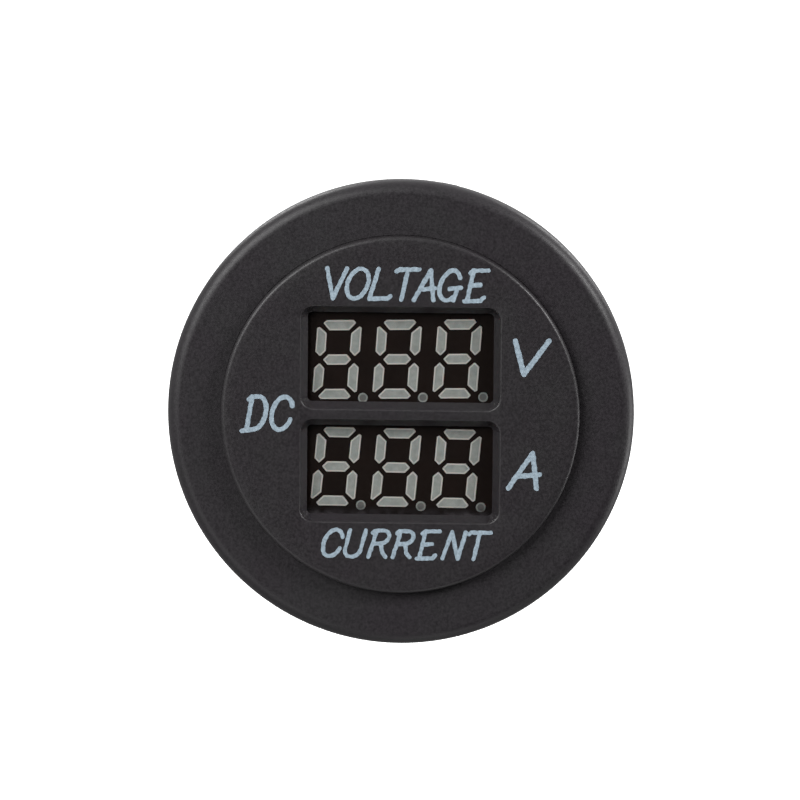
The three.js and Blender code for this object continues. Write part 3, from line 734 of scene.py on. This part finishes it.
def gasket():
    bm = bmesh.new()
    inner = THREAD_CREST + 0.45
    outer = span("panel_gasket", X)[1]
    corners = [
        (inner, GASKET_FRONT, 0.2),
        (outer, GASKET_FRONT, 0.3),
        (outer, GASKET_BACK, 0.3),
        (inner, GASKET_BACK, 0.2),
    ]
    turned(bm, rounded(corners))
    return piece("gasket_ring", bm, GASKET_RUBBER, stands_for=["panel_gasket"])


def washer():
    """Flat washer with two inner keys that run in the housing's keyways."""
    bm = bmesh.new()
    inner = THREAD_CREST + WASHER_GAP
    key_half = KEYWAY_HALF - WASHER_GAP
    key_tip = KEYWAY_FLOOR + WASHER_GAP
    outline = rounded(
        [
            (inner, WASHER_FRONT, 0.12),
            (WASHER_R, WASHER_FRONT, 0.25),
            (WASHER_R, WASHER_BACK, 0.25),
            (inner, WASHER_BACK, 0.12),
        ]
    )
    middle = (inner + WASHER_R) / 2

    def place(row, column):
        angle, offset, on_key = column
        radius, y = row
        if offset is None:
            return around(radius, angle, y)
        x = math.sqrt(radius**2 - offset**2)
        if on_key and radius < middle:
            x = key_tip + radius - inner
        return Vector((math.copysign(x, math.sin(angle)), y, offset))

    skin(bm, outline, keyed_columns(key_half, inner, inner, (1, 0.5, -0.5, -1)), place)
    return piece(
        "keyed_washer", bm, NUT_NYLON, body="clamp_washer", stands_for=["clamp_washer"]
    )


def nut_columns():
    """Columns round the nut as (angle, radius on the ribbed part)."""
    half = RIB["half"]
    soft = RIB["round"]
    base = math.sqrt(NUT_BODY_R**2 - half**2)
    wide = half + RIB["foot"]
    wide_base = math.sqrt(NUT_BODY_R**2 - wide**2)
    section = rounded(
        [
            (wide_base, -wide, 0),
            (base, -half, 0.2),
            (RIB["radius"], -half, soft),
            (RIB["radius"], half, soft),
            (base, half, 0.2),
            (wide_base, wide, 0),
        ],
        closed=False,
        steps=4,
    )
    columns = []
    for k in range(RIB["count"]):
        middle = (k + 0.5) * FULL_TURN / RIB["count"]
        last = section[-1]
        reach = math.atan2(last.y, last.x)
        gap = FULL_TURN / RIB["count"] - 2 * reach
        if k == 0:
            columns += [(middle - reach - gap * n / 4, NUT_BODY_R) for n in (2, 1)]
        columns += [(middle + math.atan2(v, u), math.hypot(u, v)) for u, v in section]
        gaps = (1, 2) if k == RIB["count"] - 1 else (1, 2, 3)
        columns += [(middle + reach + gap * n / 4, NUT_BODY_R) for n in gaps]
    return columns


def nut():
    bm = bmesh.new()
    flange_r = span("mounting_nut", X)[1]
    flange_back = NUT_FRONT + NUT_FLANGE
    rib_back = NUT_BACK - 0.5
    front = rounded(
        [
            (NUT_GROOVE, NUT_FRONT, 0),
            (flange_r, NUT_FRONT, 0.3),
            (flange_r, flange_back, 0.25),
            (RIB["radius"] + 0.15, flange_back, 0),
        ],
        closed=False,
    )
    back = rounded(
        [(NUT_BODY_R, NUT_BACK - 0.45, 0), (NUT_BODY_R, NUT_BACK, 0.35), (NUT_GROOVE, NUT_BACK, 0)],
        closed=False,
    )
    # How far the ribs' outline is grown, and how far behind the flange or the ribs' end.
    rib_foot = [(0.12, 0), (0.03, 0.04), (0, 0.14)]
    rib_end = [(0, -0.2), (-0.06, -0.06), (-0.2, 0)]
    rows = [("round", r, y) for r, y in front]
    rows += [("rib", grow, flange_back + behind) for grow, behind in rib_foot]
    rows += [("rib", grow, rib_back + behind) for grow, behind in rib_end]
    rows += [("round", NUT_BODY_R, rib_back)]
    rows += [("round", r, y) for r, y in back]
    rows += [("thread", y, height) for y, height in reversed(thread_rows(NUT_FRONT, NUT_BACK))]

    def bore_radius(y, height):
        depth = min(y - NUT_FRONT, NUT_BACK - y)
        return max(NUT_BORE + (NUT_GROOVE - NUT_BORE) * height, NUT_GROOVE - depth)

    def place(row, column):
        kind, first, second = row
        angle, ribbed = column
        if kind == "round":
            return around(first, angle, second)
        if kind == "rib":
            return around(max(ribbed + first, NUT_BODY_R), angle, second)
        y = min(max(first + THREAD_PITCH * angle / FULL_TURN, NUT_FRONT), NUT_BACK)
        return around(bore_radius(y, second), angle, y)

    skin(bm, rows, nut_columns(), place)
    return piece(
        "ring_nut", bm, NUT_NYLON, body="mounting_nut", stands_for=["mounting_nut"]
    )


# ---- Rear cover and blade terminals ----

TABS = ("supply_positive_tab", "supply_negative_tab", "current_in_tab", "current_out_tab")


def tab_centre(node):
    return sum(span(node, X)) / 2, sum(span(node, Z)) / 2


def cover():
    bm = bmesh.new()
    front = BARREL_END + HAIR
    spigot_front = span("rear_cover", Y)[0]
    outline = rounded(
        [
            (SPIGOT_BORE, front, 0),
            (SPIGOT_BORE, spigot_front, 0.1),
            (SPIGOT_R, spigot_front, 0.35),
            (SPIGOT_R, front, 0.05),
            (COVER_R, front, 0.08),
            (COVER_R, COVER_BACK, 0.4),
            (COVER_R - 1.5, COVER_BACK, 0),
        ],
        closed=False,
    )
    rings = walls(bm, [(circle(r), y) for r, y in outline])
    fronts = []
    backs = []
    width, height, soft, flare = SLOT["width"], SLOT["height"], SLOT["round"], SLOT["flare"]
    for node in TABS:
        place = tab_centre(node)
        slot = rounded_rectangle(width, height, soft, place, steps=4)
        flared = rounded_rectangle(width + flare, height + flare, soft + flare / 2, place, steps=4)
        rings_here = walls(bm, [(slot, front), (slot, COVER_BACK - flare / 2), (flared, COVER_BACK)])
        fronts.append(rings_here[0])
        backs.append(rings_here[-1])
    fill(bm, rings[0], *fronts)
    fill(bm, rings[-1], *backs)
    return piece("rear_cap", bm, HOUSING_BLACK, stands_for=["rear_cover"])


def blade(node):
    """A stamped blade: rolled edges, tapered tip, chamfered locking hole, shoulders and solder leg."""
    bm = bmesh.new()
    x = tab_centre(node)[0]
    low, tip = span(node, Y)
    thick_low, thick_high = span(node, Z)
    shoulder_back = BARREL_END - 0.1
    shoulder_front = shoulder_back - 1.5
    half = [
        (BLADE["leg"], low, 0.2),
        (BLADE["leg"], shoulder_front, 0.2),
        (BLADE["shoulder"], shoulder_front, 0.15),
        (BLADE["shoulder"], shoulder_back, 0.15),
        (BLADE["half"], shoulder_back, 0.1),
        (BLADE["half"], tip - 0.8, 0.4),
        (BLADE["half"] - 0.6, tip, 0.25),
    ]
    corners = half + [(-u, v, r) for u, v, r in reversed(half)]
    outline = rounded(corners, steps=4)
    hole = disc(Vector((0, tip - BLADE["hole_to_tip"])), BLADE["hole"], 40)
    edge = BLADE["edge"]
    roll = 0.3 * edge

    def level(points, inward, height):
        return [bm.verts.new((x + p.x, p.y, height)) for p in grown(points, -inward)]

    def shell(points, sign):
        rings = [
            level(points, sign * edge, thick_low),
            level(points, sign * roll, thick_low + roll),
            level(points, 0, thick_low + edge),
            level(points, 0, thick_high - edge),
            level(points, sign * roll, thick_high - roll),
            level(points, sign * edge, thick_high),
        ]
        for first, second in zip(rings, rings[1:]):
            bridge(bm, first, second)
        return rings[0], rings[-1]

    outer = shell(outline, 1)
    inner = shell(hole, -1)
    fill(bm, outer[0], inner[0])
    fill(bm, outer[1], inner[1])
    return piece(
        node.replace("_tab", "_blade"), bm, TINNED_BRASS, stands_for=[node], sharp=20
    )


# ---- Printed labels: plain unit words in a one-stroke slanted hand ----


def bow(cx, cz, rx, rz, start, end, steps=14):
    """Points along part of an ellipse, with angles in degrees from +X towards +Z."""
    angles = [math.radians(start + (end - start) * k / steps) for k in range(steps + 1)]
    return [(cx + rx * math.cos(a), cz + rz * math.sin(a)) for a in angles]


# Each letter: its share of the line, and its strokes on a cap height of 1, before they lean.
LETTERS = {
    "V": (0.61, [[(0, 1), (0.42, 0), (0.64, 1)]]),
    "O": (0.64, [bow(0.33, 0.5, 0.33, 0.5, 90, 450, 32)]),
    "L": (0.56, [[(0.08, 1), (0.02, 0), (0.62, 0.03), (0.68, 0.11)]]),
    "T": (0.57, [[(0.3, 1), (0.33, 0)], [(-0.05, 0.93), (0.02, 1), (0.66, 1.01)]]),
    "A": (0.54, [[(0, 0), (0.3, 1), (0.62, 0)], [(0.14, 0.34), (0.59, 0.4)]]),
    "G": (
        0.74,
        [
            bow(0.33, 0.5, 0.31, 0.5, 30, 300, 26) + [(0.56, 0.15)],
            [(0.34, 0.38), (0.7, 0.43)],
            [(0.6, 0.4), (0.56, 0)],
        ],
    ),
    "E": (
        0.71,
        [
            [(0.07, 1), (0.1, 0)],
            [(-0.01, 0.92), (0.05, 1), (0.54, 1.02)],
            [(0.02, -0.02), (0.53, 0), (0.61, 0.12)],
            [(0.09, 0.5), (0.4, 0.54)],
        ],
    ),
    "C": (0.61, [bow(0.31, 0.5, 0.3, 0.5, 27, 338, 28)]),
    "U": (0.66, [[(0, 1)] + bow(0.26, 0.27, 0.26, 0.27, 180, 360) + [(0.52, 1)]]),
    "R": (
        0.64,
        [
            [(0.02, 0), (0.06, 1)],
            [(-0.05, 0.91), (0.03, 1)] + bow(0.3, 0.76, 0.22, 0.24, 90, -90) + [(0.06, 0.5)],
            [(0.3, 0.52), (0.43, 0.18), (0.58, 0.02)],
        ],
    ),
    "N": (0.535, [[(0, 0), (0.07, 1), (0.5, 0), (0.53, 1)]]),
    "D": (
        0.62,
        [
            [(0.13, 0.02), (0.12, 1)],
            [(0.04, 0.91), (0.12, 1), (0.32, 1)] + bow(0.33, 0.5, 0.28, 0.5, 90, -90, 20) + [(0, -0.05)],
        ],
    ),
}


def capsule(first, second, radius, steps=9):
    """A straight pen mark with round ends, as a convex ring of points."""
    along = math.atan2(second.y - first.y, second.x - first.x)
    ring_points = []
    for middle, start in ((second, along - math.pi / 2), (first, along + math.pi / 2)):
        for k in range(steps):
            a = start + math.pi * k / (steps - 1)
            ring_points.append(middle + radius * Vector((math.cos(a), math.sin(a))))
    return ring_points


def merged_outlines(rings):
    """The outlines of the area that overlapping rings cover together, outside ones and holes."""
    points = [p for one in rings for p in one]
    faces = []
    for one in rings:
        start = faces[-1][-1] + 1 if faces else 0
        faces.append(list(range(start, start + len(one))))
    verts, _, cells, _, _, covers = geometry.delaunay_2d_cdt(points, [], faces, 1, 1e-5)
    after = {}
    sides = {(c[i], c[(i + 1) % len(c)]) for c, cover in zip(cells, covers) if cover for i in range(len(c))}
    for a, b in sorted(sides):
        if (b, a) not in sides:
            after[a] = b
    outlines = []
    while after:
        start, here = after.popitem()
        loop = [verts[start]]
        while here != start:
            loop.append(verts[here])
            here = after.pop(here)
        outlines.append(loop)
    return outlines


def inked_edge(loop, spacing=0.08, wander=0.05, ripples=3.5):
    """A loop of points in even steps, each moved a little by a smooth noise, like ink on a grained face."""
    lengths = [(loop[(i + 1) % len(loop)] - p).length for i, p in enumerate(loop)]
    count = max(8, round(sum(lengths) / spacing))
    even = []
    i, passed = 0, 0.0
    for k in range(count):
        target = sum(lengths) * k / count
        while passed + lengths[i] < target:
            passed += lengths[i]
            i += 1
        even.append(loop[i].lerp(loop[(i + 1) % len(loop)], (target - passed) / lengths[i]))
    moved = []
    for p in even:
        shift = Vector(noise.noise_vector(Vector((p.x, p.y, 0)) * ripples)[:2])
        moved.append(p + wander * shift)
    return moved


def label(name, text, centre, size, pen, tilt=0.0, slant=0.23, gap=0.16):
    """One word of print: size is its overall width and height, pen the width of its strokes."""
    strokes = []
    left = 0.0
    for letter in text:
        width, paths = LETTERS[letter]
        strokes.append([[(left + u + v * slant, v) for u, v in path] for path in paths])
        left += width + gap
    reach = [u for paths in strokes for path in paths for u, _ in path]
    middle = (min(reach) + max(reach)) / 2
    stretch = (size[0] - pen) / (max(reach) - min(reach))
    cap = size[1] - pen
    across = Vector((math.cos(math.radians(tilt)), math.sin(math.radians(tilt))))
    up = Vector((-across.y, across.x))

    def placed(u, v):
        return Vector(centre) + across * ((u - middle) * stretch) + up * ((v - 0.5) * cap)

    bm = bmesh.new()
    for paths in strokes:
        marks = []
        for path in paths:
            points = [placed(u, v) for u, v in path]
            marks += [capsule(a, b, pen / 2) for a, b in zip(points, points[1:])]
        outlines = [inked_edge(loop) for loop in merged_outlines(marks)]
        rings = [walls(bm, [(o, FACE_FRONT - INK), (o, FACE_FRONT + INK)]) for o in outlines]
        fill(bm, *[r[0] for r in rings])
        fill(bm, *[r[-1] for r in rings])
    return piece(name, bm, PRINTED_INK)


# Signs beside the blades, as strokes round each sign's middle in millimetres.
MINUS = [[(-0.8, 0), (0.8, 0)]]
PLUS = [*MINUS, [(0, -0.8), (0, 0.8)]]
ARROW_UP = [[(0, -0.85), (0, 0.85)], [(-0.55, 0.3), (0, 0.85)], [(0.55, 0.3), (0, 0.85)]]
ARROW_DOWN = [[(u, -v) for u, v in path] for path in ARROW_UP]
SIGNS = {
    "supply_positive_tab": PLUS,
    "supply_negative_tab": MINUS,
    "current_in_tab": ARROW_UP,
    "current_out_tab": ARROW_DOWN,
}


def moulded_signs():
    """Raised signs on the rear cover: supply plus and minus, current into and out of the shunt."""
    bm = bmesh.new()
    pen = 0.42
    from_blade = 3.4
    height = 0.16
    soft = 0.05
    levels = [(0, -0.1), (0, height - soft), (soft * 0.3, height - soft * 0.3), (soft, height)]
    for node, strokes in SIGNS.items():
        x, z = tab_centre(node)
        centre = Vector((x, z + math.copysign(from_blade, z)))
        marks = [capsule(centre + Vector(a), centre + Vector(b), pen / 2) for a, b in strokes]
        rings = [
            walls(bm, [(grown(loop, -inward), COVER_BACK + rise) for inward, rise in levels])
            for loop in merged_outlines(marks)
        ]
        fill(bm, *[r[0] for r in rings])
        fill(bm, *[r[-1] for r in rings])
    return piece("rear_signs", bm, HOUSING_BLACK)


# ---- Build ----

housing()
face()
for module_name in MODULE_TURNS:
    display_case(module_name)
    display_segments(module_name)
gasket()
washer()
nut()
cover()
for tab_node in TABS:
    blade(tab_node)
moulded_signs()

label("label_voltage", "VOLTAGE", (0.52, 10.41), (13.05, 2.72), 0.34, tilt=-0.4)
label("label_current", "CURRENT", (0.64, -10.26), (13.6, 2.45), 0.32, tilt=-0.5)
label("label_direct_current", "DC", (-10.49, 0.08), (4.37, 2.98), 0.37, slant=0.17)
label("label_volts", "V", (10.37, 4.74), (3.08, 3.08), 0.42, slant=0.25)
label("label_amps", "A", (9.84, -4.26), (2.86, 3.2), 0.39)

CARRIED_OVER = {
    "window_film": CLEAR_FILM,
    "voltage_display_base": CHIP_EPOXY,
    "current_display_base": CHIP_EPOXY,
    "display_board": BOARD_LAMINATE,
    "power_board": BOARD_LAMINATE,
    "link_header": CHIP_EPOXY,
    "shunt_element": RESISTANCE_WIRE,
    "filter_capacitor": CAPACITOR_SLEEVE,
    "protection_diode": CHIP_EPOXY,
    "voltage_regulator": CHIP_EPOXY,
    "sense_amplifier": CHIP_EPOXY,
    "resistor_array": CHIP_EPOXY,
    "microcontroller": CHIP_EPOXY,
    "display_board_capacitor": CHIP_CERAMIC,
    "power_board_capacitor": CHIP_CERAMIC,
}
for node_name, node_material in CARRIED_OVER.items():
    node_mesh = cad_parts[node_name]
    for node_slot in node_mesh.material_slots:
        node_slot.material = node_material

# ---- Floor, light and camera ----

# The camera's angles are in degrees, its distances in metres. The width is what it sees across at AIM.
VIEW = {"azimuth": 1.75, "elevation": 6.9, "roll": 0.5, "distance": 0.45, "width": 0.06353}
AIM = Vector((-0.000085, -0.0016, 0.00092))
FLOOR_DROP = 0.045


def direction(azimuth, elevation):
    """Unit vector from the meter towards a place: azimuth 0 is straight in front, 90 is at +X."""
    a, e = math.radians(azimuth), math.radians(elevation)
    return Vector((math.sin(a) * math.cos(e), -math.cos(a) * math.cos(e), math.sin(e)))


def look_from(thing, place, target):
    thing.location = place
    thing.rotation_euler = (target - place).to_track_quat("-Z", "Y").to_euler()


def camera():
    data = bpy.data.cameras.new("camera")
    data.sensor_width = 36
    data.lens = data.sensor_width * VIEW["distance"] / VIEW["width"]
    data.clip_start, data.clip_end = 0.01, 20
    made = bpy.data.objects.new("camera", data)
    bpy.context.collection.objects.link(made)
    look_from(made, AIM + VIEW["distance"] * direction(VIEW["azimuth"], VIEW["elevation"]), AIM)
    rolled = made.rotation_euler.to_quaternion() @ Quaternion((0, 0, 1), math.radians(VIEW["roll"]))
    made.rotation_euler = rolled.to_euler()
    bpy.context.scene.camera = made


def floor():
    bm = bmesh.new()
    reach = 6.0
    level = cad_low.z - FLOOR_DROP
    corners = [(-reach, -reach), (reach, -reach), (reach, reach), (-reach, reach)]
    bm.faces.new([bm.verts.new((x, y, level)) for x, y in corners])
    mesh = bpy.data.meshes.new("floor")
    bm.to_mesh(mesh)
    bm.free()
    m = Nodes("floor_white")
    m.set(Base_Color=(0.9, 0.9, 0.9, 1), Roughness=0.9)
    m.set(Emission_Color=(1, 1, 1, 1), Emission_Strength=0.9)
    mesh.materials.append(m.material)
    made = bpy.data.objects.new("floor", mesh)
    bpy.context.collection.objects.link(made)
    made.visible_glossy = False
    made.visible_diffuse = False


# Lamps as azimuth and elevation in degrees, distance and size in metres, and power in watts.
LAMPS = {
    "key_left": (-40, 26.5, 0.7, 0.5, 4.0),
    "key_right": (60, 29, 0.7, 0.22, 2.9),
    "edge_right": (97, -12, 0.8, 0.5, 2.2),
    "edge_low": (20, -65, 0.8, 0.5, 0.6),
    "fill_left": (-30, -28, 0.8, 0.5, 0.9),
    "back_left": (-150, 35, 0.9, 0.4, 2.0),
    "back_right": (140, 30, 0.9, 0.4, 2.0),
}


def softbox(name, azimuth, elevation, distance, size, power):
    data = bpy.data.lights.new(name, "AREA")
    data.shape = "DISK"
    data.size = size
    data.energy = power
    made = bpy.data.objects.new(name, data)
    bpy.context.collection.objects.link(made)
    look_from(made, distance * direction(azimuth, elevation), Vector((0, 0, 0)))


def surroundings():
    """White where the camera looks past the meter, and a room that is dark in front and pale elsewhere."""
    world = bpy.data.worlds.new("studio")
    bpy.context.scene.world = world
    world.use_nodes = True
    nodes, links = world.node_tree.nodes, world.node_tree.links
    nodes.clear()
    output = nodes.new("ShaderNodeOutputWorld")
    mix = nodes.new("ShaderNodeMixShader")
    path = nodes.new("ShaderNodeLightPath")
    white = nodes.new("ShaderNodeBackground")
    room = nodes.new("ShaderNodeBackground")
    place = nodes.new("ShaderNodeTexCoord")
    split = nodes.new("ShaderNodeSeparateXYZ")
    depth = nodes.new("ShaderNodeMapRange")
    shade = nodes.new("ShaderNodeValToRGB")
    height = nodes.new("ShaderNodeMapRange")
    white.inputs["Strength"].default_value = 1.0
    white.inputs["Color"].default_value = (1, 1, 1, 1)
    depth.inputs["From Min"].default_value = -1
    shade.color_ramp.elements.new(0.5)
    for element, (position, grey) in zip(shade.color_ramp.elements, ((0.08, 0.02), (0.3, 0.38), (0.5, 0.6))):
        element.position = position
        element.color = (grey, grey, grey, 1)
    height.inputs["From Min"].default_value = -1
    height.inputs["To Min"].default_value = 0.6
    height.inputs["To Max"].default_value = 1.1
    links.new(place.outputs["Generated"], split.inputs["Vector"])
    links.new(split.outputs["Y"], depth.inputs["Value"])
    links.new(split.outputs["Z"], height.inputs["Value"])
    links.new(depth.outputs["Result"], shade.inputs["Fac"])
    links.new(shade.outputs["Color"], room.inputs["Color"])
    links.new(height.outputs["Result"], room.inputs["Strength"])
    links.new(path.outputs["Is Camera Ray"], mix.inputs["Fac"])
    links.new(room.outputs["Background"], mix.inputs[1])
    links.new(white.outputs["Background"], mix.inputs[2])
    links.new(mix.outputs["Shader"], output.inputs["Surface"])


camera()
floor()
for lamp_name, lamp in LAMPS.items():
    softbox(lamp_name, *lamp)
surroundings()
bpy.context.scene.view_settings.view_transform = "Standard"
bpy.context.scene.view_settings.look = "None"
